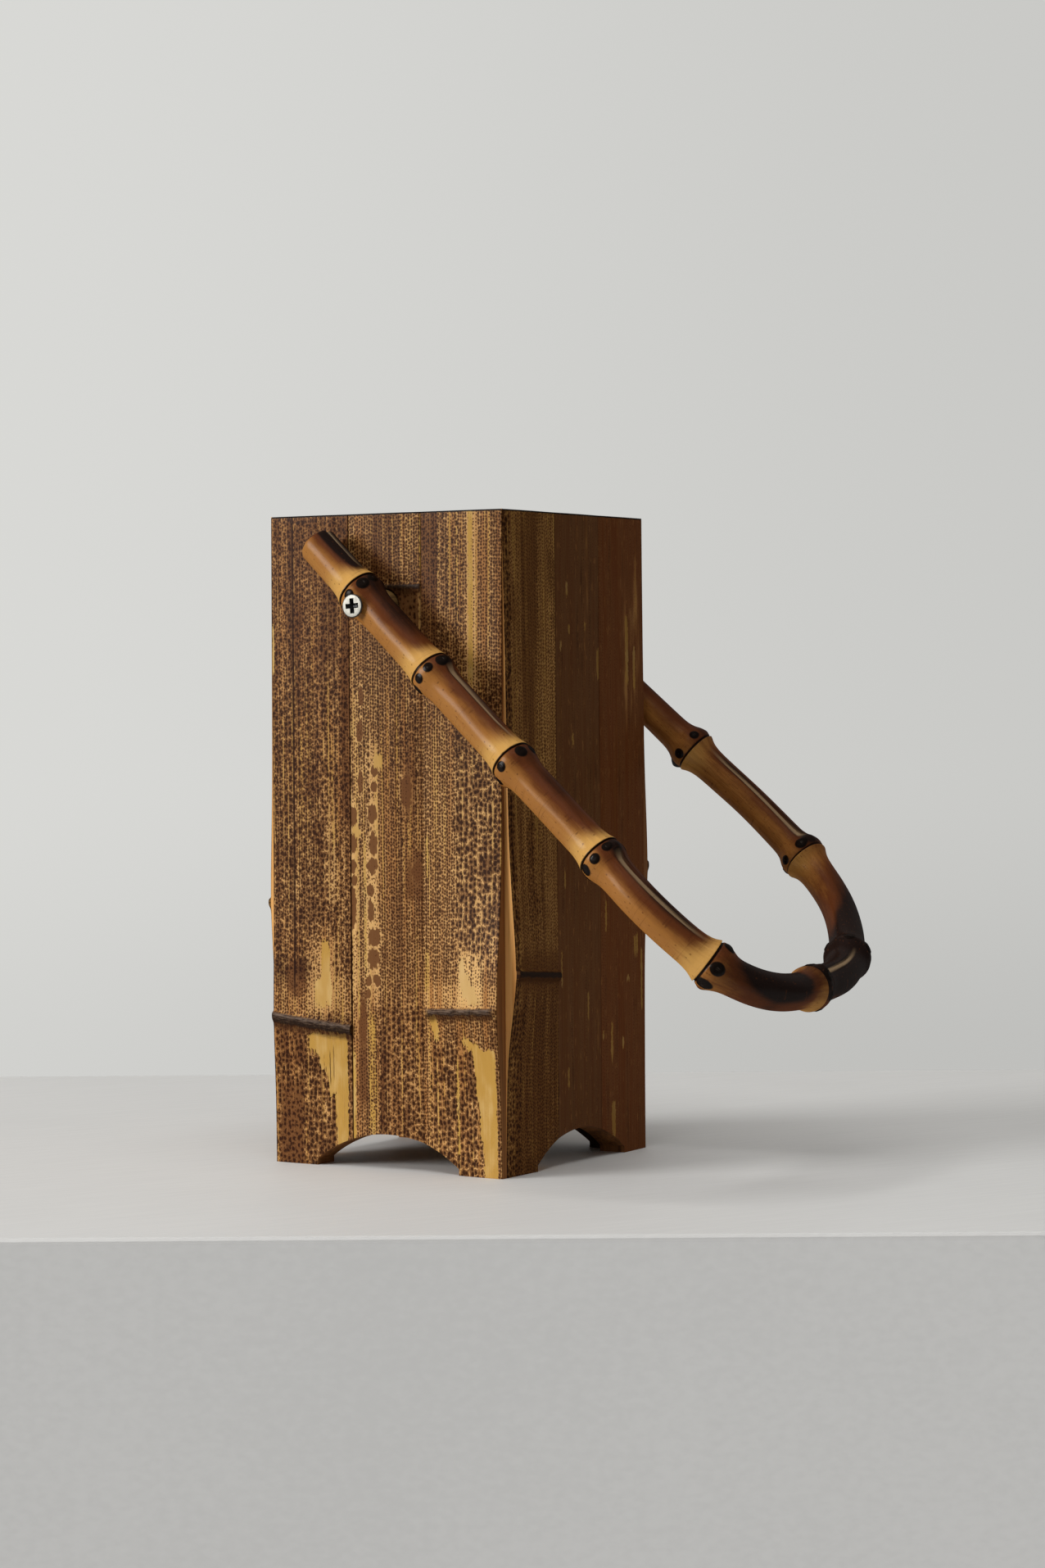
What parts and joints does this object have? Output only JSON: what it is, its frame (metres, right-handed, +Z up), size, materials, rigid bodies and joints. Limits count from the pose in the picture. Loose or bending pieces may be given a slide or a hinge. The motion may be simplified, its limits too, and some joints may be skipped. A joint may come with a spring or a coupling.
{
  "type": "bamboo flower vase with bail handle",
  "caption": "Square flower vase of upright bamboo slats with arched feet, a bent rhizome bail handle that swings on side screws, and a lift-out water liner.",
  "frame": {"origin": "centre of the square footprint, on the plane that the feet stand on", "axes": "+Z up; +X towards the side that the handle hangs on at rest; -Y is the front face with the front pivot screw, and the pivots' axis runs along Y"},
  "size_m": [0.2091, 0.1499, 0.2285],
  "materials": {
    "front_bamboo": "satin oiled bamboo rind, speckled brown on tan",
    "right_bamboo": "satin dark stained bamboo rind",
    "back_bamboo": "satin oiled bamboo rind, speckled brown on tan",
    "left_bamboo": "satin oiled bamboo rind, speckled brown on tan",
    "base_wood": "plain planed board",
    "liner_plastic": "matt dark moulding",
    "rhizome": "glossy amber rhizome, scorched at the bend",
    "spacer_bamboo": "satin bamboo",
    "screw_steel": "bright zinc plated"
  },
  "bodies": {
    "vase": {"front_left_slat": "front_bamboo", "front_middle_slat": "front_bamboo", "front_right_slat": "front_bamboo", "right_front_slat": "right_bamboo", "right_middle_slat": "right_bamboo", "right_back_slat": "right_bamboo", "back_right_slat": "back_bamboo", "back_middle_slat": "back_bamboo", "back_left_slat": "back_bamboo", "left_back_slat": "left_bamboo", "left_middle_slat": "left_bamboo", "left_front_slat": "left_bamboo", "base_board": "base_wood", "front_spacer": "spacer_bamboo", "back_spacer": "spacer_bamboo", "front_screw": "screw_steel", "back_screw": "screw_steel"},
    "handle": {"handle": "rhizome"},
    "liner": {"liner": "liner_plastic"}
  },
  "joints": [
    {"name": "handle_swing", "type": "hinge", "parent": "vase", "child": "handle", "pos_m": [0, 0, 0.196], "axis": [0, -1, 0], "range_deg": [-28.5, 291.5]},
    {"name": "liner_lift", "type": "slide", "parent": "vase", "child": "liner", "axis": [0, 0, 1], "range_m": [0, 0.206]}
  ]
}
